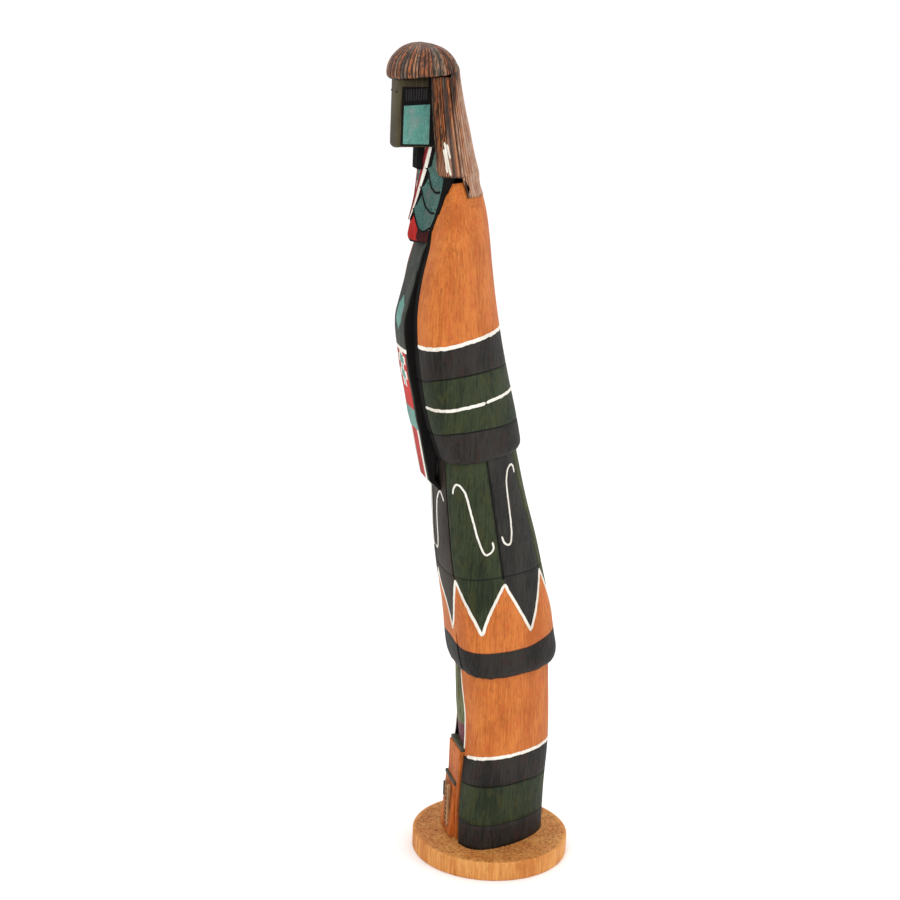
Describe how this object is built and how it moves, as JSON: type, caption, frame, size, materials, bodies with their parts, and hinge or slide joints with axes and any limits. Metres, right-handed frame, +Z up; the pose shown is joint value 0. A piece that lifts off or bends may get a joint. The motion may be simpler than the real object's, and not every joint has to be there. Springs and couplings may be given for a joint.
{
  "type": "kachina doll",
  "caption": "Carved and painted cottonwood figure in mask, cape, shawl and robe, leaning forward on a round wooden base.",
  "frame": {"origin": "centre of the base disc's underside, on the surface that the doll stands on", "axes": "+Z up, the figure faces -Y, and its own left side is +X"},
  "size_m": [0.082, 0.1094, 0.42],
  "materials": {
    "base_wood": "bare sanded wood, stippled on top",
    "carved_wood": "stained and hand-painted, satin"
  },
  "bodies": {
    "root": {"base_disc": "base_wood", "figure": "carved_wood"}
  },
  "joints": []
}
